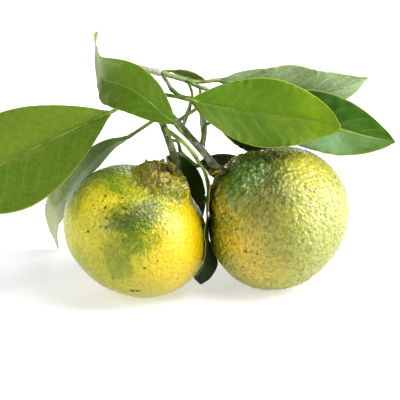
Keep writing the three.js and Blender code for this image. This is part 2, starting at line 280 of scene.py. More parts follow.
# Points and sizes are in millimetres, the pole lengths from the centre, and the axis points at the stem
rightFruit = {
    "name": "mandarin_right",
    "centre": (4.4, 0.9, 30.7),
    "axis": (-0.73, -0.15, 0.66),
    "equator": 33.2,
    "stemPole": 30,
    "blossomPole": 28.6,
    "neck": 4,
    "neckAngle": 42,
    "furrows": 9,
    "furrowDepth": 1.0,
    "furrowReach": (8, 56),  # degrees from the stem
    "lumps": 0.5,
    "knobs": (11, 0.9),  # how close and how high, round the stem
    "pebbles": (1.7, 0.95),  # size and height
    "pits": (1.8, 0.4),
    "crust": (1.5, 0.9),  # pitting near the stem only
    "seed": 3.0,
}
leftFruit = {
    "name": "mandarin_left",
    "centre": (-59.8, -7.4, 27.6),
    "axis": (0.48, -0.12, 0.87),
    "equator": 32.8,
    "stemPole": 28,
    "blossomPole": 26.6,
    "neck": 5,
    "neckAngle": 32,
    "furrows": 7,
    "furrowDepth": 0.7,
    "furrowReach": (6, 36),
    "lumps": 0.5,
    "knobs": (16, 1.3),
    "pebbles": (1.6, 0.3),
    "pits": (2.2, 0.2),
    "crust": (1.4, 1.6),
    "seed": 11.0,
}
fruitValues = {
    "cuts": 29,
    "waverScale": 3,
    "waver": 5,  # how far the furrows stray from straight lines
    "spiral": 0.03,
    "sharpness": 2.5,
    "lumpScale": 1.7,
    "crustSteps": 10,
    "pitRim": (0.05, 0.28),
}
facing = {"proud": 0.15, "from": 0.6, "to": 0.75}  # how far the peel may stand out beside the gap's leaf
dimple = {"depth": 1.2, "angle": 12}


def axisOf(fruit):
    return np.array(Vector(fruit["axis"]).normalized())


# Turn a piece that stands on +Z to a fruit's own axis and move it to a point in millimetres
def standUp(piece, fruit, point):
    axis = Vector(fruit["axis"]).normalized()
    piece.rotation_mode = "QUATERNION"
    piece.rotation_quaternion = Vector((0, 0, 1)).rotation_difference(axis)
    piece.location = Vector(point) * mm
    applyPlace(piece)


# The skin's distance from the centre, where up is 1 at the stem and -1 at the blossom end
def skinRadius(fruit, up):
    out = np.sqrt(np.maximum(0, 1 - up * up))
    pole = np.where(up > 0, fruit["stemPole"], fruit["blossomPole"])
    body = 1 / np.hypot(out / fruit["equator"], up / pole)
    angle = np.degrees(np.arccos(np.clip(up, -1, 1)))
    neck = fruit["neck"] * (1 - ease(fruit["neckAngle"] * 0.45, fruit["neckAngle"], angle))
    hollow = dimple["depth"] * np.exp(-(((180 - angle) / dimple["angle"]) ** 2))
    return body + neck - hollow


def modelFruit(fruit, neighbour, material):
    bpy.ops.mesh.primitive_cube_add(size=2)
    piece = bpy.context.object
    piece.name = fruit["name"] + "_fruit"
    bpy.ops.object.mode_set(mode="EDIT")
    bpy.ops.mesh.select_all(action="SELECT")
    bpy.ops.mesh.subdivide(number_cuts=fruitValues["cuts"])
    bpy.ops.object.mode_set(mode="OBJECT")
    applyModifier(piece, "CAST", cast_type="SPHERE", factor=1, size=1, use_radius_as_size=False)
    subdivide(piece, 2)
    # shape the ball: body, neck, furrows round the stem and slow lumps
    ways = readPoints(piece)
    ways /= np.linalg.norm(ways, axis=1)[:, None]
    angle = np.degrees(np.arccos(np.clip(ways[:, 2], -1, 1)))
    turn = np.arctan2(ways[:, 1], ways[:, 0])
    radius = skinRadius(fruit, ways[:, 2])
    start, end = fruit["furrowReach"]
    window = ease(start * 0.4, start * 1.6, angle) * (1 - ease(end * 0.55, end, angle))
    seed = fruit["seed"]
    waverScale, lumpScale = fruitValues["waverScale"], fruitValues["lumpScale"]
    wander = np.array([noise.noise(Vector(w) * waverScale + Vector((seed, 0, 0))) for w in ways])
    slow = np.array([noise.noise(Vector(w) * lumpScale + Vector((0, seed, 0))) for w in ways])
    close, high = fruit["knobs"]
    knobs = np.array([noise.fractal(Vector(w) * close + Vector((0, 0, seed)), 0.8, 2.0, 3) for w in ways])
    phase = fruit["furrows"] * turn + fruitValues["waver"] * wander + angle * fruitValues["spiral"]
    wave = 0.5 + 0.5 * np.cos(phase)
    radius -= fruit["furrowDepth"] * window * wave ** fruitValues["sharpness"]
    radius += high * knobs * (1 - ease(end * 0.6, end, angle))
    radius += fruit["lumps"] * slow
    writePoints(piece, ways * radius[:, None] * mm)
    standUp(piece, fruit, fruit["centre"])
    # the oil glands of the peel, and the crusty skin near the stem
    crust = piece.vertex_groups.new(name="crust")
    near = 1 - ease(end * 0.6, end * 0.85, angle + 6 * wander)
    steps = fruitValues["crustSteps"]
    for step in range(1, steps + 1):
        crust.add(np.flatnonzero(np.ceil(near * steps) == step).tolist(), step / steps, "REPLACE")
    plain, normals = readPoints(piece), readNormals(piece)
    for label in ("pebbles", "pits", "crust"):
        size, height = fruit[label]
        sign = 1 if label == "pits" else -1
        texture = bpy.data.textures.new(fruit["name"] + "_" + label, "VORONOI")
        texture.noise_scale = size * mm
        texture.distance_metric = "DISTANCE"
        if label == "pits":
            texture.use_color_ramp = True
            floor, rim = texture.color_ramp.elements
            floor.position, rim.position = fruitValues["pitRim"]
            floor.color = (0, 0, 0, 1)
            rim.color = (1, 1, 1, 1)
        applyModifier(
            piece, "DISPLACE", texture=texture, texture_coords="LOCAL", strength=sign * height * mm,
            mid_level=1.0 if label == "pits" else 0.5, vertex_group="crust" if label == "crust" else "",
        )
    points = readPoints(piece)
    relief = piece.data.attributes.new("relief", "FLOAT", "POINT")
    relief.data.foreach_set("value", np.sum((points - plain) * normals, axis=1) / mm)
    # the peel lies flatter on the side that faces the other fruit, where a leaf hangs between them
    middle = np.array(fruit["centre"])
    out = points / mm - middle
    far = np.linalg.norm(out, axis=1)
    ways = out / far[:, None]
    toward = np.array(neighbour["centre"]) - middle
    beside = ease(facing["from"], facing["to"], ways @ (toward / np.linalg.norm(toward)))
    proud = far - skinRadius(fruit, ways @ axisOf(fruit))
    far -= beside * np.maximum(0, proud - facing["proud"])
    writePoints(piece, aboveFloor((middle + ways * far[:, None]) * mm))
    smooth(piece)
    dress(piece, material)
    settle(piece, fruit["name"])


# Patches are (turn, lift, radius, soft edge, colour, strength), laid one over the other, and specks are
# (turn, lift, radius). Turn is in degrees to the right of the front, lift in degrees above the fruit's middle.
rightPeel = {
    "base": "a6a214",
    "patches": [
        # the next two patches paint the right side paler, as painted sheen of the light from the right
        (45, 15, 20, 10, "c4c868", 0.9),
        (40, -20, 16, 8, "a8b048", 0.9),
        # painted highlight at the upper right
        (30, 60, 11, 6, "d2ca3c", 0.9),
        (-5, -40, 12, 5, "bab61c", 0.85),
        (-25, 10, 8, 5, "bcac0c", 0.8),
        (-35, -20, 11, 6, "deba06", 0.95),
        (-15, -15, 10, 6, "c4ae0e", 0.8),
        (-50, -30, 8, 5, "9c9c08", 0.8),
        (0, 5, 8, 6, "8c9012", 0.7),
        (-55, 15, 7, 4, "b4a00a", 0.9),
        (-20, 30, 8, 6, "687206", 0.8),
        (-10, 50, 9, 6, "506202", 0.9),
        # the green shoulder by the stem, darkened further as the painted shadow of the front leaf
        (-25, 65, 10, 5, "4c6a02", 0.9),
        (-50, 35, 8, 4, "567c02", 0.9),
        (-55, 50, 12, 4, "4c7600", 1.0),
        (-65, 30, 5, 3, "a89414", 0.8),
    ],
    "specks": [
        (-30, -10, 0.7), (-50, 0, 0.55), (-50, -10, 0.55), (-20, -10, 0.6), (-45, -30, 0.65),
        (-35, -25, 0.7),
        (-15, -35, 0.55), (-55, 10, 0.55), (-60, -15, 0.5), (-25, -30, 0.5),
    ],
    "flecks": 0.35,
    "dots": 0.6,
    "dotted": (-35, -15, 12, 8),
    "shade": "5f6404",
    "bump": 1.0,
    "rough": 0.24,
    "gloss": 0.9,
    "glossTint": (1, 1, 0.92, 1),
    "coat": 0.5,
}
leftPeel = {
    "base": "c2ba18",
    "patches": [
        (50, 0, 17, 9, "ecc800", 1.0),
        (25, -25, 13, 6, "d4bc10", 0.85),
        (0, -35, 9, 5, "aaa60e", 0.75),
        # painted sheen of the light from the left: the left flank paler
        (-60, 10, 16, 8, "d8d440", 0.85),
        (-40, -25, 13, 6, "a0a41a", 0.8),
        (-80, 60, 18, 7, "6a880a", 0.95),
        (-75, 85, 9, 5, "748810", 0.8),
        (-35, 40, 8, 5, "e6d636", 0.9),
        (-10, -5, 7, 4, "708606", 0.8),
        (10, 35, 8, 6, "889806", 0.8),
        (5, 25, 10, 7, "627400", 0.9),
        (0, 30, 7, 5, "425800", 0.95),
        (5, 10, 7, 5, "567200", 0.85),
        (55, 60, 14, 3, "7c760a", 1.0),
        (35, 70, 6, 3, "706e0a", 0.8),
        (50, 40, 5, 3, "869014", 0.8),
        (65, 65, 4, 3, "a8800e", 0.7),
    ],
    "specks": [
        (0, -35, 1.1), (5, -35, 0.9), (-30, 45, 0.5), (-30, 40, 0.5), (-25, 35, 0.6), (-15, 30, 0.55),
        (-5, 25, 0.55),
        (-35, 15, 0.65), (-20, 20, 0.55), (70, 0, 0.55), (10, -10, 0.55), (-15, -20, 0.6), (40, -25, 0.55),
        (-10, 45, 0.5), (15, 20, 0.5), (20, -5, 0.5),
    ],
    "flecks": 0.35,
    "dots": 0.9,
    "dotted": (-5, 40, 17, 8),
    "shade": "6c6e08",
    "bump": 0.5,
    "rough": 0.26,
    "gloss": 0.7,
    "glossTint": (1, 0.97, 0.75, 1),
    "coat": 0.22,
}


# The place on a fruit's skin in a direction given as turn and lift
def onPeel(fruit, turn, lift):
    turn, lift = math.radians(turn), math.radians(lift)
    way = np.array((math.sin(turn) * math.cos(lift), -math.cos(turn) * math.cos(lift), math.sin(lift)))
    return np.array(fruit["centre"]) + way * skinRadius(fruit, way @ axisOf(fruit))


def peelMaterial(name, fruit, peel):
    sheet = Sheet(name)
    place = sheet.place()
    ragged = sheet.stirred(sheet.stirred(place, 60, 0.022), 420, 0.016)
    grain = 1 - sheet.step(sheet.noise(place, 700, 4, 0.7), 0.5, 0.62) * 0.4
    colour = paint(peel["base"])
    for turn, lift, radius, soft, code, strength in peel["patches"]:
        spot = sheet.patch(ragged, onPeel(fruit, turn, lift), radius, soft)
        colour = sheet.mix(spot * grain * strength, colour, paint(code))
    # green and yellow flecks between the glands
    flecks = sheet.step(sheet.noise(place, 640, 5, 0.75), 0.48, 0.62)
    colour = sheet.mix(flecks * peel["flecks"], colour, paint("8f9c2c"), "MULTIPLY")
    light = sheet.step(sheet.noise(place, 520, 4, 0.75), 0.54, 0.68)
    colour = sheet.mix(light * peel["flecks"] * 0.55, colour, paint("dcc61e"))
    glands = sheet.cells(sheet.stirred(place, 600, 0.0008), 760)
    colour = sheet.mix((1 - sheet.step(glands, 0.0, 0.4)) * 0.3, colour, paint("5c6206"))
    relief = sheet.add("ShaderNodeAttribute", {"attribute_name": "relief"}, output="Fac")
    # painted shade in the sunken places of the peel's relief
    colour = sheet.mix((1 - sheet.step(relief, -0.45, 0.0)) * 0.5, colour, paint(peel["shade"]))
    # dark green dots, thickest in one place
    dots = sheet.cells(place, 310)
    turn, lift, radius, soft = peel["dotted"]
    where = sheet.patch(ragged, onPeel(fruit, turn, lift), radius, soft) + 0.12
    colour = sheet.mix((1 - sheet.step(dots, 0.09, 0.14)) * where * peel["dots"], colour, paint("3c5208"))
    # brown specks and little scars
    rare = sheet.cells(place, 110)
    colour = sheet.mix((1 - sheet.step(rare, 0.03, 0.06)) * 0.7, colour, paint("3f3a0c"))
    near = sheet.stirred(place, 900, 0.0012)
    for turn, lift, radius in peel["specks"]:
        spot = sheet.patch(near, onPeel(fruit, turn, lift), radius, 0.2)
        colour = sheet.mix(spot * 0.9, colour, paint("1e2208"))
    height = sheet.step(glands, 0.0, 0.5) * 0.6 + sheet.noise(place, 1500, 3, 0.6) * 0.4
    return sheet.finish(
        colour, peel["rough"] + (1 - sheet.step(glands, 0.0, 0.4)) * 0.15, height, (0.8, peel["bump"] * mm),
        gloss=peel["gloss"], glossTint=peel["glossTint"], coat=peel["coat"], coatRoughness=0.16, glow=0.05,
        glowReach=0.003,
    )


modelFruit(rightFruit, leftFruit, peelMaterial("peel of the right mandarin", rightFruit, rightPeel))
print("right mandarin modelled")
modelFruit(leftFruit, rightFruit, peelMaterial("peel of the left mandarin", leftFruit, leftPeel))
print("left mandarin modelled")
fruits = (rightFruit, leftFruit)


hub = np.array((-52.9, -4.0, 86.1))  # the fork where the two fruit stems part
gapMiddle = -27.6
leftSide = leftFruit["centre"][0] - leftFruit["equator"]


def at(x, y, z):
    return tuple(hub + (x, y, z))


def inGap(y, height, x=0):
    return (gapMiddle + x, y, height)


def polePoint(fruit, height):
    return np.array(fruit["centre"]) + axisOf(fruit) * (float(skinRadius(fruit, np.array(1.0))) + height)


# A smooth line through points (Catmull-Rom), measured along its length
class Spine:
    def __init__(self, points, steps=24):
        given = [np.array(p, dtype=float) for p in points]
        ends = [2 * given[0] - given[1]] + given + [2 * given[-1] - given[-2]]
        self.spans = len(given) - 1
        line = []
        for i in range(self.spans):
            p0, p1, p2, p3 = ends[i : i + 4]
            for j in range(steps):
                t = j / steps
                line.append(
                    0.5 * (2 * p1 + (p2 - p0) * t + (2 * p0 - 5 * p1 + 4 * p2 - p3) * t**2
                           + (3 * p1 - p0 - 3 * p2 + p3) * t**3)
                )
        line.append(given[-1])
        self.line = np.array(line)
        pieces = np.linalg.norm(np.diff(self.line, axis=0), axis=1)
        self.reached = np.concatenate(([0], np.cumsum(pieces)))
        self.length = self.reached[-1]
        self.steps = steps

    def index(self, share):
        return np.interp(share * self.length, self.reached, np.arange(len(self.line)))

    def point(self, share):
        place = self.index(share)
        return np.array([np.interp(place, np.arange(len(self.line)), self.line[:, k]) for k in range(3)])

    def way(self, share):
        step = 0.004
        way = self.point(min(1, share + step)) - self.point(max(0, share - step))
        return way / np.linalg.norm(way)

    # the share of the given points passed, for what is set point by point
    def passed(self, share):
        return self.index(share) / self.steps / self.spans


stemValues = {
    "ringGap": 1.2,
    "leastRings": 8,
    "roundness": 3,
    "merge": 0.02,
    "barkSize": 1.6,
    "barkHeight": 0.3,
}


# A round stem: a bevelled curve made solid. Radii are given along the points.
def modelStem(name, points, radii):
    bpy.ops.curve.primitive_nurbs_path_add()
    piece = bpy.context.object
    piece.name = name
    curve = piece.data
    curve.splines.clear()
    spine = Spine(points)
    count = max(stemValues["leastRings"], int(spine.length / stemValues["ringGap"]))
    line = curve.splines.new("POLY")
    line.points.add(count)
    for i in range(count + 1):
        share = i / count
        line.points[i].co = (*(spine.point(share) * mm), 1)
        line.points[i].radius = float(np.interp(share, [s for s, r in radii], [r for s, r in radii]))
    curve.dimensions = "3D"
    curve.bevel_depth = mm
    curve.bevel_resolution = stemValues["roundness"]
    curve.use_fill_caps = True
    pickOnly(piece)
    bpy.ops.object.convert(target="MESH")
    piece = bpy.context.object
    applyPlace(piece)
    bpy.ops.object.mode_set(mode="EDIT")
    bpy.ops.mesh.select_all(action="SELECT")
    bpy.ops.mesh.remove_doubles(threshold=stemValues["merge"] * mm)
    bpy.ops.mesh.normals_make_consistent(inside=False)
    bpy.ops.object.mode_set(mode="OBJECT")
    subdivide(piece, 1)
    return piece


def roughen(piece, size, height):
    texture = bpy.data.textures.new(piece.name + "_bark", "CLOUDS")
    texture.noise_scale = size * mm
    applyModifier(
        piece, "DISPLACE", texture=texture, texture_coords="LOCAL", strength=height * mm, mid_level=0.5,
    )


def barkMaterial(name, low, high, spot):
    sheet = Sheet(name)
    place = sheet.place()
    blotch = sheet.step(sheet.noise(place, 160, 4, 0.65), 0.42, 0.62)
    colour = sheet.mix(blotch, paint(low), paint(high))
    rust = sheet.step(sheet.noise(place, 260, 3, 0.6), 0.58, 0.68)
    colour = sheet.mix(rust * 0.75, colour, paint(spot))
    pale = sheet.step(sheet.noise(place, 420, 4, 0.7), 0.54, 0.64)
    colour = sheet.mix(pale * 0.6, colour, paint("c6c8b4"))
    dark = sheet.step(sheet.noise(place, 900, 3, 0.6), 0.56, 0.7)
    colour = sheet.mix(dark * 0.6, colour, paint("3e3c24"))
    return sheet.finish(colour, 0.62, sheet.noise(place, 1300, 4, 0.7), (0.7, 0.0006))


def greenTwigMaterial(name, low, high, tip):
    sheet = Sheet(name)
    place = sheet.place()
    blotch = sheet.step(sheet.noise(place, 150, 3, 0.6), 0.4, 0.62)
    colour = sheet.mix(blotch, paint(low), paint(high))
    rust = sheet.step(sheet.noise(place, 330, 3, 0.6), 0.6, 0.72)
    colour = sheet.mix(rust * 0.5, colour, paint(tip))
    grain = sheet.noise(place, 1200, 3, 0.6)
    return sheet.finish(colour, 0.45, grain, (0.3, 0.0004), glow=0.08, glowReach=0.002)


bark = barkMaterial("grey-green bark", "4c5a34", "a2a68c", "7c5038")
greenBark = barkMaterial("green bark", "424e20", "7c8654", "6c4a2c")
paleBark = barkMaterial("pale bark", "a4a68c", "d6d4c2", "9a6048")
greenTwig = greenTwigMaterial("green twig bark", "46601e", "8c9c60", "6e4a2c")
petioleGreen = greenTwigMaterial("petiole green", "4e6c14", "86983c", "94803c")

stemSeat = 0.7  # from the skin to the foot of a stem
rightFoot = polePoint(rightFruit, stemSeat)
leftFoot = polePoint(leftFruit, stemSeat)

# Radii are (share of the length, millimetres)
twigs = {
    "twig_main": {
        "points": [at(-19, 7, 16), at(-7, 6, 13.2), at(5.2, 5, 10.9)],
        "radii": [
            (0, 1.5), (0.1, 1.45), (0.5, 1.45), (0.57, 1.8), (0.64, 1.5), (0.85, 1.5), (0.95, 1.8), (1, 1.5),
        ],
        "material": paleBark,
        "slot": "bark",
    },
    "twig_leafy": {
        "points": [at(4.6, 5, 11), at(12.5, 6, 8.4), at(16, 7, 7.2), at(20.7, 9, 4.3), at(25, 11, 2.4)],
        "radii": [
            (0, 1.3), (0.12, 1.2), (0.44, 1.1), (0.52, 1.4), (0.6, 1.05), (0.9, 0.9), (0.97, 1.1), (1, 0.8),
        ],
        "material": greenTwig,
        "slot": "green_twig",
    },
    "twig_fruiting": {
        "points": [at(-11.2, 6.4, 14.2), at(-6.4, 3, 7.2), at(0, 0, 0)],
        "radii": [(0, 1.4), (0.8, 1.45), (1, 1.7)],
        "material": bark,
        "slot": "bark",
    },
    "fruit_stem_right": {
        "points": [
            at(-0.4, 0, 0.2), at(5.7, 0, -3.3), at(12, 0, -10.2), at(17.2, 0, -16.2), at(22.5, 0, -22.2),
            rightFoot + axisOf(rightFruit) * 5, rightFoot,
        ],
        "radii": [
            (0, 1.6), (0.3, 1.65), (0.42, 2.0), (0.5, 1.7), (0.8, 1.75), (0.84, 2.1), (0.9, 1.9), (1, 2.4),
        ],
        "material": bark,
        "slot": "bark",
    },
    "fruit_stem_left": {
        "points": [
            at(0, 0, 0.3), at(3.5, -3, -4.6), at(6.5, -5, -11.2),
            leftFoot + axisOf(leftFruit) * 4.2, leftFoot,
        ],
        "radii": [(0, 1.6), (0.2, 1.7), (0.4, 1.6), (0.7, 1.7), (0.88, 1.9), (1, 2.4)],
        "material": greenBark,
        "slot": "bark",
    },
    "twig_back": {
        "points": [at(11.7, 0, -9.8), at(15.8, 0, -6.9), at(19, 0.6, -4.9), at(22, 1.2, -2.6)],
        "radii": [(0, 1.1), (0.2, 0.85), (0.85, 0.8), (1, 0.6)],
        "material": greenTwig,
        "slot": "green_twig",
    },
    "twig_spur": {
        "points": [at(5, 5, 11), at(8, 5, 6.4), at(9.8, 6, 2.3)],
        "radii": [(0, 1.0), (0.5, 0.85), (0.85, 1.05), (1, 0.7)],
        "material": greenTwig,
        "slot": "green_twig",
    },
}
for name, twig in twigs.items():
    piece = modelStem(name + "_wood", twig["points"], twig["radii"])
    roughen(piece, stemValues["barkSize"], stemValues["barkHeight"])
    smooth(piece)
    dress(piece, twig["material"])
    settle(piece, name)
    twig["spine"] = Spine(twig["points"])
print("twigs modelled")


# Each leaf: the twig and the share of its length the petiole grows from, the petiole's points on
# the way, and the blade's points from the joint to the tip. "face" is where the upper side looks.
leaves = [
    {
        "name": "curled_top", "twig": "fruit_stem_right", "share": 0.53, "radius": 0.85,
        "petiole": [at(13.6, -7, -12.2)],
        "blade": [
            at(11, -11, -7.6), at(3, -12, -0.5), at(-2.5, -13, 4.5), at(-8.5, -13, 8.2),
            at(-14.8, -12, 10.2),
            at(-19, -10, 10.6), at(-20.3, -7, 13.9), at(-21.3, -4, 17), at(-22.3, -1.5, 21),
            at(-22.7, 0.5, 24.5),
            at(-21.7, 2, 29),
        ],
        "width": 21, "widest": 0.5, "fullness": 0.7, "fold": 6, "upright": 0.54,
        "face": [
            (0.2, -0.95, 0.3), (0.05, -0.95, 0.3), (0, -0.95, 0.25), (0, -0.98, 0.2), (-0.05, -1, -0.1),
            (-0.3, -0.95, 0), (-0.9, -0.3, 0), (-0.97, -0.1, 0), (-0.97, -0.1, 0), (-0.97, -0.1, 0),
            (-0.97, -0.1, 0),
        ],
        "look": "frontLeaf",
    },
    {
        "name": "front_right", "twig": "twig_fruiting", "share": 0.82,
        "petiole": [at(7.5, -2, 2.6)],
        "blade": [
            at(18.3, -5, 0.9), at(27.7, -4, -1.7), at(41.5, -2, -4.5), at(56.7, 0, -6.6), at(70.7, 0, -8.9),
            at(82.5, -3, -11.8),
        ],
        "width": 31, "widest": 0.5, "fullness": 0.72, "fold": 5, "wave": 0.6,
        "face": [(0, -0.85, 0.5), (0.05, -0.9, 0.42)],
        "look": "brightLeaf",
    },
    {
        "name": "far_right", "twig": "twig_spur", "share": 0.85,
        "petiole": [at(13.3, 7, 0.3), at(18, 11, -1.6)],
        "blade": [
            at(24.2, 14, -4), at(38, 15.5, -7), at(54, 16, -10), at(72, 16, -13), at(86, 16, -17),
            at(97.5, 15, -20), at(109.3, 13, -22),
        ],
        "width": 30.5, "widest": 0.62, "fullness": 0.8, "fold": 9,
        "face": [(0.1, -0.8, 0.6), (0.3, -0.75, 0.6)],
        "look": "deepLeaf",
    },
    {
        "name": "back_right", "twig": "twig_leafy", "share": 0.5,
        "petiole": [at(21.6, 10, 5.9)],
        "blade": [
            at(30, 14, 6), at(36, 17, 4.6), at(48, 23, 1.6), at(60, 27, -0.6), at(74, 29, -2.3),
            at(86, 29.5, -1), at(98.6, 30, 4),
        ],
        "width": 25, "widest": 0.52, "fullness": 0.8, "fold": 8, "wave": 0.7, "waves": 3,
        "face": [(-0.05, 0.92, 0.4), (-0.1, 0.9, 0.45)],
        "look": "paleLeaf",
    },
    {
        "name": "wide_left", "twig": "fruit_stem_left", "share": 0.16, "radius": 0.85,
        "petiole": [at(-8, 0.5, -1.5)],
        "blade": [
            at(-17, -1, -5.4), at(-27.3, -2, -10), at(-46.1, -6, -18.3), at(-64.2, -10, -26.5),
            at(-88, -15, -37.5),
        ],
        "width": 44, "widest": 0.6, "fullness": 0.62, "fold": 7,
        "face": [(-0.1, 0.9, -0.4), (-0.1, 0.85, -0.5)],
        "look": "oliveLeaf",
    },
    {
        "name": "drooping_left", "twig": "fruit_stem_left", "share": 0.26, "radius": 0.85,
        "petiole": [at(-3.4, 1.5, -12.8)],
        "blade": [
            at(-9.9, 3, -17.4), at(-19.2, 7, -23.1), at(-29.5, 15, -34.5), at(-39.5, 29, -50),
            (leftSide - 8, 34, 24), (leftSide - 9.8, 39, 14), (leftSide - 8.4, 44, 1.2),
        ],
        "width": 18, "widest": 0.56, "fullness": 0.62, "fold": 10,
        "face": [(-0.3, -0.7, 0.6), (-0.35, -0.8, 0.5), (-0.9, -0.45, 0.2)],
        "look": "paleTippedLeaf",
    },
    {
        "name": "between_fruits", "twig": "fruit_stem_left", "share": 0.42, "radius": 1,
        "petiole": [at(10.6, -9.3, -13.2), at(15.4, -11.2, -16.6)],
        "blade": [
            at(20.2, -10.4, -22.8), inGap(-10, 53), inGap(-9, 43), inGap(-7, 28), inGap(-5.5, 14, -1),
            inGap(-5, 1.5, -3),
        ],
        "width": 21, "widest": 0.7, "fullness": 0.7, "fold": 4,
        "face": [(1, 0.1, 0), (1, 0.1, 0), (1, 0, 0), (0.95, -0.3, 0), (0.8, -0.6, 0), (0.35, -0.93, 0.1)],
        "look": "darkLeaf",
    },
    {
        "name": "behind_right", "twig": "fruit_stem_right", "share": 0.68, "radius": 0.85,
        "petiole": [at(23, 3.8, -17.8), at(24, 6.6, -13)],
        "blade": [
            at(27.8, 10, -11.9), at(33.3, 14.5, -14.6), at(42.2, 20, -19.5), at(52, 27, -26),
            at(60, 34, -34),
        ],
        "width": 19, "widest": 0.5, "fullness": 0.75, "fold": 6,
        "face": [(0.1, -0.85, 0.5), (0.1, -0.75, 0.65), (0.2, -0.3, 0.95)],
        "look": "darkLeaf",
    },
    {
        "name": "low_back", "twig": "fruit_stem_left", "share": 0.74, "radius": 0.85,
        "petiole": [at(15, 3, -25.7)],
        "blade": [
            at(20.2, 13, -33), at(25.2, 20, -35.2), at(32.8, 29, -38.5), at(42.8, 37, -43),
            at(54.9, 42, -50),
        ],
        "width": 14, "widest": 0.5, "fullness": 0.8, "fold": 6,
        "face": [(-0.6, -0.75, 0.3), (0, -0.9, 0.3)],
        "look": "darkLeaf",
    },
    {
        "name": "gap_back", "twig": "fruit_stem_left", "share": 0.58, "radius": 0.8,
        "petiole": [at(11.9, 4, -19.5)],
        "blade": [at(13, 9, -25), at(13.5, 14, -36.5), at(17, 20, -53), at(19.5, 25, -71)],
        "width": 20, "widest": 0.5, "fullness": 0.8, "fold": 6,
        "face": [(0.75, -0.65, 0), (0.6, -0.8, 0)],
        "look": "darkLeaf",
    },
    {
        "name": "upper_back", "twig": "twig_leafy", "share": 0.93, "radius": 0.75,
        "petiole": [],
        "blade": [at(30, 16, -1), at(37, 23.5, -6), at(48, 30, -12.5), at(59, 34, -20)],
        "width": 13, "widest": 0.45, "fullness": 0.8, "fold": 8,
        "face": [(-0.2, 0.2, 0.95), (0.1, 0.2, 0.97)],
        "look": "deepLeaf",
    },
    {
        "name": "narrow_top", "twig": "twig_main", "share": 0.93, "radius": 0.7,
        "petiole": [],
        "blade": [
            at(9, 10.5, 10.8), at(12, 12.5, 9.8), at(16.3, 14.5, 8), at(20.7, 16, 6.2), at(24, 18, 5.2),
        ],
        "width": 8, "widest": 0.5, "fullness": 0.8, "fold": 8,
        "face": [(0.1, 0.6, 0.8), (0.3, 0.6, 0.75)],
        "look": "deepLeaf",
    },
    {
        "name": "small_hanging", "twig": "twig_leafy", "share": 0.56, "radius": 0.7,
        "petiole": [at(18.5, 6.5, 1.5)],
        "blade": [at(18, 5, -2), at(16.8, 5.5, -5), at(15.4, 6.5, -9), at(14.5, 8, -14)],
        "width": 6, "widest": 0.5, "fullness": 0.8, "fold": 8,
        "face": [(0.9, -0.4, 0.1), (0.9, -0.4, 0.1)],
        "look": "deepLeaf",
    },
    {
        "name": "hanging", "twig": "twig_leafy", "share": 0.84, "radius": 0.7,
        "petiole": [],
        "blade": [at(22, 10, -4), at(22.3, 12, -10), at(23.2, 14.5, -16.5), at(23.8, 16, -25)],
        "width": 10, "widest": 0.5, "fullness": 0.8, "fold": 8,
        "face": [(0.95, -0.25, 0.1), (0.95, -0.25, 0.1)],
        "look": "darkLeaf",
    },
]
bladeValues = {
    "thickness": 0.5,  # of the plain blade that this one replaces
    "skin": 0.4,
    "neck": 1.0,  # half width at the petiole
    "tip": 0.3,
    "rows": 30,
    "columns": 8,
    "smallWidth": 12,  # blades narrower than this have fewer rows and columns
    "smallRows": 16,
    "smallColumns": 4,
    "foldRound": 0.15,
    "clearance": 0.55,
    "clearSweeps": 8,
    "veins": 9,
    "veinLean": 0.16,
    "veinBend": 0.05,
    "groove": 0.25,
    "quilt": 0.06,
    "margin": 0.18,
}


def halfWidth(leaf, share):
    power = math.log(0.5) / math.log(leaf["widest"])
    swell = math.sin(math.pi * share**power) ** leaf["fullness"]
    least = bladeValues["neck"] + (bladeValues["tip"] - bladeValues["neck"]) * share
    return max(least, leaf["width"] / 2 * swell)


# Points inside a fruit are moved out of its skin, and those below the floor onto it
def keepClear(points, margin):
    for sweep in range(bladeValues["clearSweeps"]):
        for fruit in fruits:
            centre = np.array(fruit["centre"])
            out = points - centre
            far = np.linalg.norm(out, axis=1)
            way = out / far[:, None]
            reach = skinRadius(fruit, way @ axisOf(fruit)) + margin
            inside = far < reach
            points[inside] = centre + way[inside] * reach[inside][:, None]
    points[:, 2] = np.maximum(points[:, 2], bladeValues["thickness"] / 2)
    return points


def readUv(piece):
    layer = piece.data.uv_layers.active.data
    flat = np.empty(len(layer) * 2)
    layer.foreach_get("uv", flat)
    corners = np.empty(len(piece.data.loops), dtype=int)
    piece.data.loops.foreach_get("vertex_index", corners)
    uv = np.empty((len(piece.data.vertices), 2))
    uv[corners] = flat.reshape(-1, 2)
    return uv


# Where the upper side looks at a share of the blade's length
def faceAt(leaf, spine, share):
    faces = np.array(leaf["face"], dtype=float)
    place = spine.passed(share) * (len(faces) - 1)
    return np.array([np.interp(place, np.arange(len(faces)), faces[:, k]) for k in range(3)])


# 0 on the nearest side vein and 1 halfway to the next one
def veinShare(u, side, left):
    lean, bend = bladeValues["veinLean"], bladeValues["veinBend"]
    run = (u - lean * side - bend * side**2) * bladeValues["veins"] + 0.4 * left
    return np.abs(run - np.floor(run) - 0.5) * 2


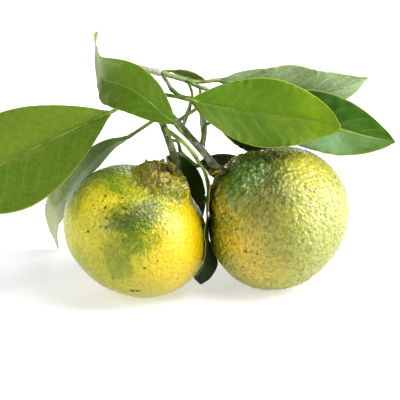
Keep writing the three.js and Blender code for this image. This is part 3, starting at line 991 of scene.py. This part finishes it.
def modelBlade(leaf, materials):
    rows, columns = bladeValues["rows"], bladeValues["columns"]
    if leaf["width"] < bladeValues["smallWidth"]:
        rows, columns = bladeValues["smallRows"], bladeValues["smallColumns"]
    bpy.ops.mesh.primitive_grid_add(x_subdivisions=rows, y_subdivisions=columns, size=1, calc_uvs=True)
    piece = bpy.context.object
    piece.name = "leaf_" + leaf["name"] + "_blade"
    # draw the outline row by row on the flat blank
    bpy.ops.object.mode_set(mode="EDIT")
    blank = bmesh.from_edit_mesh(piece.data)
    for row in range(rows + 1):
        share = row / rows
        for vertex in blank.verts:
            vertex.select = abs(vertex.co.x + 0.5 - share) < 0.2 / rows
        blank.select_flush_mode()
        stretch = (1, halfWidth(leaf, share) * 2, 1)
        bpy.ops.transform.resize(value=stretch, center_override=(share - 0.5, 0, 0))
    bpy.ops.object.mode_set(mode="OBJECT")
    # lay it along its spine, folded at the midrib
    spine = Spine(leaf["blade"])
    fold = math.radians(leaf["fold"])
    points = readPoints(piece)
    laid = np.empty_like(points)
    stations = {}
    for i, (x, y, z) in enumerate(points):
        share = min(1.0, max(0.0, x + 0.5))
        key = round(share, 4)
        if key not in stations:
            way = spine.way(share)
            face = faceAt(leaf, spine, share)
            face = face - way * (face @ way)
            face /= np.linalg.norm(face)
            across = np.cross(face, way)
            if "upright" in leaf:  # past a fold the rows stand upright
                turned = ease(leaf["upright"], leaf["upright"] + 0.08, share)
                across = across * (1 - turned) + np.array((0, 0, -1)) * turned
                across /= np.linalg.norm(across)
                face = np.cross(way, across)
                face /= np.linalg.norm(face)
            stations[key] = (spine.point(share), face, across, halfWidth(leaf, share))
        middle, face, across, half = stations[key]
        v = y / half
        foldRound = bladeValues["foldRound"]
        rise = half * (math.hypot(v, foldRound) - foldRound) * math.sin(fold)
        wave = leaf.get("wave", 0) * v**2 * math.sin(2 * math.pi * leaf.get("waves", 2) * share + v)
        laid[i] = middle + across * y * math.cos(fold) + face * (rise + wave)
    writePoints(piece, keepClear(laid, bladeValues["clearance"] + bladeValues["thickness"] / 2) * mm)
    subdivide(piece, 2)
    # midrib groove, quilting between the side veins and a slightly wavy margin
    uv = readUv(piece)
    u, side, left = uv[:, 0], np.abs(uv[:, 1] - 0.5) * 2, (uv[:, 1] > 0.5) * 1.0
    sink = bladeValues["groove"] * np.exp(-((side / 0.07) ** 2)) * (1 - ease(0.75, 1, u))
    vein = 1 - ease(0, 0.5, veinShare(u, side, left))
    inner = ease(0.05, 0.3, side) * (1 - ease(0.75, 1, side)) * ease(0, 0.1, u) * (1 - ease(0.85, 1, u))
    edge = bladeValues["margin"] * ease(0.6, 1, side) * np.sin(u * 47 + left * 2 + 3 * np.sin(u * 19))
    size = min(1, leaf["width"] / 20)
    lift = (edge - sink - bladeValues["quilt"] * vein * inner) * size
    points = readPoints(piece) + readNormals(piece) * lift[:, None] * mm
    writePoints(piece, points)
    dress(piece, *materials)
    applyModifier(
        piece, "SOLIDIFY", thickness=bladeValues["skin"] * mm, offset=0, material_offset=1,
        material_offset_rim=0, use_even_offset=False,
    )
    writePoints(piece, aboveFloor(readPoints(piece)))
    smooth(piece)
    settle(piece, "leaf_" + leaf["name"])


petioleValues = {
    "radius": 0.95,
    "ribShares": (0.04, 0.14, 0.28, 0.42, 0.56, 0.7, 0.84),  # of the blade's length
    "ribDrop": 0.45,
    "ribClearance": 0.6,
    "barkSize": 2.0,
    "barkHeight": 0.12,
}


def modelPetiole(leaf):
    twig = twigs[leaf["twig"]]["spine"]
    radius = leaf.get("radius", petioleValues["radius"])
    points = [twig.point(leaf["share"]), *leaf["petiole"], leaf["blade"][0]]
    run = Spine(points).length
    # the midrib runs on under the blade as a tapering rib
    spine = Spine(leaf["blade"])
    ribs = []
    for share in petioleValues["ribShares"]:
        face = faceAt(leaf, spine, share)
        face /= np.linalg.norm(face)
        ribs.append(spine.point(share) - face * petioleValues["ribDrop"])
    ribs = list(keepClear(np.array(ribs), petioleValues["ribClearance"]))
    whole = run + spine.length * petioleValues["ribShares"][-1]
    joint = run / whole
    size = min(1, leaf["width"] / 20)
    radii = [
        (0, radius * 1.25), (joint * 0.15, radius), (joint * 0.8, radius * 0.9),
        (joint * 0.93, radius * 1.1), (joint, radius * 1.05), (joint + 0.03, radius * 0.75),
        (joint + 0.3 * (1 - joint), 0.5 * size), (1, 0.12),
    ]
    piece = modelStem("petiole_" + leaf["name"] + "_stalk", points + ribs, radii)
    roughen(piece, petioleValues["barkSize"], petioleValues["barkHeight"])
    writePoints(piece, aboveFloor(readPoints(piece)))
    smooth(piece)
    dress(piece, petioleGreen)
    settle(piece, "petiole_" + leaf["name"])


# Colours of the kinds of leaf. "top" and "under" have one colour for each half of the blade, the halves
# painted lighter and darker as light and shade fall on the folded blade, and "end" is the upper side's colour
# towards the tip.
leafLooks = {
    "brightLeaf": {
        "top": ("4a6802", "507306"), "end": "729010", "under": ("7c9648", "98ad6c"),
        "vein": "748c1c", "rib": "5c5c14", "rough": 0.46,
    },
    "frontLeaf": {
        "top": ("567412", "4a660c"), "end": "b4c08c", "under": ("87a064", "b4c298"),
        "vein": "74903c", "rib": "7c9040", "rough": 0.36,
    },
    "deepLeaf": {
        # the low half's pale grey-green on the upper side is a painted reflection
        "top": ("6c9466", "1e4600"), "end": "3c6600", "under": ("7f9a52", "98ad78"),
        "vein": "508404", "rib": "a8b020", "rough": 0.28,
    },
    "darkLeaf": {
        "top": ("2a4a10", "34581a"), "end": "26382a", "under": ("3c5c24", "4c6a34"),
        "vein": "50702c", "rib": "5c7c34", "rough": 0.4,
    },
    "paleLeaf": {
        "top": ("4c7014", "5c8020"), "end": "8c9c50", "under": ("8ca674", "a0bc8a"),
        "vein": "d0dabc", "rib": "b8bc88", "rough": 0.45,
    },
    "oliveLeaf": {
        "top": ("4f7418", "64882a"), "end": "64882a", "under": ("5a771c", "728c2a"),
        "vein": "7c8c34", "rib": "a8926a", "rough": 0.42,
    },
    # pale grey-green, paling almost to white towards the tip
    "paleTippedLeaf": {
        "top": ("728a48", "9cb084"), "end": "d6daac", "under": ("8c9c70", "a4b08a"),
        "vein": "a0ac80", "rib": "b4b884", "rough": 0.4,
    },
}


def leafMaterial(name, look, underside):
    sheet = Sheet(name)
    place = sheet.place()
    u, v = sheet.uv()
    side = abs(v - 0.5) * 2
    left = sheet.step(v, 0.499, 0.501)
    # each half of the blade in its own colour: painted light and shade on the two sides of the fold
    low, high = look["under"] if underside else look["top"]
    tone = sheet.step(sheet.noise(place, 60, 3, 0.55), 0.3, 0.7)
    colour = sheet.mix(sheet.step(v, 0.4, 0.6), paint(low), paint(high))
    colour = sheet.mix(tone * 0.3, colour, paint("8a9a40"), "SOFT_LIGHT")
    if not underside:
        colour = sheet.mix(sheet.step(u + (tone - 0.5) * 0.2, 0.5, 0.85) * 0.85, colour, paint(look["end"]))
    # side veins leave the midrib and lean towards the tip
    run = (u - bladeValues["veinLean"] * side - bladeValues["veinBend"] * side * side) * bladeValues["veins"]
    run = run + left * 0.4 + (sheet.noise(place, 90, 2) - 0.5) * 0.35
    share = abs(sheet.add("ShaderNodeMath", {"operation": "FRACT"}, {0: run}) - 0.5) * 2
    vein = (1 - sheet.step(share, 0.02, 0.12)) * (1 - sheet.step(side, 0.55, 0.98))
    shade = (1 - sheet.step(share, 0.0, 0.9)) * sheet.step(side, 0.02, 0.4)
    colour = sheet.mix(shade * 0.08, colour, paint(look["vein"]))
    mottle = sheet.step(sheet.noise(place, 420, 5, 0.7), 0.42, 0.62)
    colour = sheet.mix(mottle * 0.16, colour, paint("55681a"), "MULTIPLY")
    faint = sheet.step(sheet.noise(place, 70, 2), 0.35, 0.6)
    colour = sheet.mix(vein * faint * (0.4 if underside else 0.2), colour, paint(look["vein"]))
    # the fine net between them
    net = sheet.cells(sheet.stirred(place, 500, 0.002), 640, feature="DISTANCE_TO_EDGE")
    mesh = 1 - sheet.step(net, 0.0, 0.12)
    colour = sheet.mix(mesh * (0.3 if underside else 0.1), colour, paint(look["vein"]))
    rib = 1 - sheet.step(side, 0.008, 0.026)
    colour = sheet.mix(rib * (0.9 if underside else 0.8), colour, paint(look["rib"]))
    margin = sheet.step(side, 0.965, 0.995)
    colour = sheet.mix(margin * 0.6, colour, paint("b9bb4e"))
    spots = sheet.cells(place, 130)
    colour = sheet.mix((1 - sheet.step(spots, 0.03, 0.06)) * 0.5, colour, paint("5b4c1e"))
    height = sheet.noise(place, 900, 3, 0.6) * 0.3 + net * 0.5 - vein * 0.3 * (-1 if underside else 1)
    if underside:
        return sheet.finish(colour, 0.58, height, (0.3, 0.0005), gloss=0.2, glow=0.05, glowReach=0.002)
    return sheet.finish(
        colour, look["rough"] + tone * 0.1, height, (0.22, 0.0004), gloss=0.35, glossTint=(0.95, 1, 0.7, 1),
        glow=0.05, glowReach=0.002,
    )


leafSkins = {
    name: (leafMaterial(name + " top", look, False), leafMaterial(name + " underside", look, True))
    for name, look in leafLooks.items()
}
for leaf in leaves:
    modelBlade(leaf, leafSkins[leaf["look"]])
    modelPetiole(leaf)
print("leaves modelled")


calyxValues = {"radius": 4.7, "waist": 2.7, "thickness": 0.8, "sepals": 5, "lift": 4.6, "seat": 0.6}


def calyxMaterial():
    sheet = Sheet("dry calyx")
    place = sheet.place()
    blotch = sheet.step(sheet.noise(place, 300, 4, 0.6), 0.4, 0.62)
    colour = sheet.mix(blotch, paint("6f7422"), paint("b8952c"))
    dark = sheet.step(sheet.noise(place, 700, 3, 0.6), 0.55, 0.7)
    colour = sheet.mix(dark * 0.6, colour, paint("5a4420"))
    return sheet.finish(colour, 0.6, sheet.noise(place, 1400, 3, 0.6), (0.4, 0.0004))


def modelCalyx(fruit, name, material):
    corners = calyxValues["sepals"] * 2
    bpy.ops.mesh.primitive_circle_add(vertices=corners, radius=calyxValues["waist"] * mm, fill_type="TRIFAN")
    piece = bpy.context.object
    piece.name = name + "_star"
    # pull every other corner out and up into a pointed sepal
    points = readPoints(piece)
    turn = np.arctan2(points[:, 1], points[:, 0]) / (2 * math.pi) * corners
    rim = np.linalg.norm(points[:, :2], axis=1) > calyxValues["waist"] * 0.5 * mm
    tips = rim & (np.abs(np.round(turn)) % 2 == 0)
    points[tips] *= calyxValues["radius"] / calyxValues["waist"]
    points[tips, 2] = calyxValues["lift"] * mm
    writePoints(piece, points)
    applyModifier(piece, "SOLIDIFY", thickness=calyxValues["thickness"] * mm, offset=0)
    bpy.ops.object.mode_set(mode="EDIT")
    bpy.ops.mesh.select_all(action="SELECT")
    bpy.ops.mesh.subdivide(number_cuts=2)
    bpy.ops.object.mode_set(mode="OBJECT")
    subdivide(piece, 1)
    standUp(piece, fruit, polePoint(fruit, calyxValues["seat"]))
    roughen(piece, 2.0, 0.4)
    smooth(piece)
    dress(piece, material)
    settle(piece, name)


dryCalyx = calyxMaterial()
modelCalyx(rightFruit, "calyx_right", dryCalyx)
modelCalyx(leftFruit, "calyx_left", dryCalyx)
print("calyxes modelled")


studio = {
    "floor": "d0d0d6",
    "nearGlow": "acacac",
    "farGlow": "ffffff",
    "glowMiddle": (-28, 0, 0),  # millimetres, as are the next two
    "glowReach": 300,
    "glowSoft": 160,
    "aim": (-0.03, 0, 0.04),
    "world": 0.22,
    "key": {"place": (0.6, -0.1, 0.33), "size": (0.22, 0.55), "power": 5.2},
    "top": {"place": (0.25, -0.15, 0.7), "size": (0.35, 0.35), "power": 2.2},
    "back": {"place": (0.1, 0.9, 0.5), "size": (0.5, 0.4), "power": 2.0},
    "front": {"place": (-0.5, -0.45, 0.35), "size": (0.5, 0.5), "power": 1.6},
}


def addFloor():
    bpy.ops.mesh.primitive_plane_add(size=6)
    floor = bpy.context.object
    floor.name = "floor"
    sheet = Sheet("white paper glowing dimmer near the fruits")
    # the floor glows as painted light: dimmer near the fruits, where their shadows fall, and white farther out
    far = 1 - sheet.patch(sheet.place(), studio["glowMiddle"], studio["glowReach"], studio["glowSoft"])
    glow = sheet.mix(far, paint(studio["nearGlow"]), paint(studio["farGlow"]))
    dress(floor, sheet.finish(paint(studio["floor"]), 0.9, shine=glow, shineStrength=1.0))


def addLight(name, values):
    place = Vector(values["place"])
    aim = Vector(studio["aim"]) - place
    turn = aim.to_track_quat("-Z", "Y").to_euler()
    bpy.ops.object.light_add(type="AREA", location=place, rotation=turn)
    lamp = bpy.context.object
    lamp.name = name
    lamp.data.shape = "RECTANGLE"
    lamp.data.size, lamp.data.size_y = values["size"]
    lamp.data.energy = values["power"]


addFloor()
for name in ("key", "top", "back", "front"):
    addLight(name + " light", studio[name])
world = bpy.data.worlds.new("white studio")
bpy.context.scene.world = world
world.use_nodes = True
world.node_tree.nodes["Background"].inputs["Color"].default_value = (1, 1, 1, 1)
world.node_tree.nodes["Background"].inputs["Strength"].default_value = studio["world"]
bpy.context.scene.view_settings.view_transform = "Standard"
bpy.context.scene.view_settings.look = "Medium High Contrast"
print("studio set")
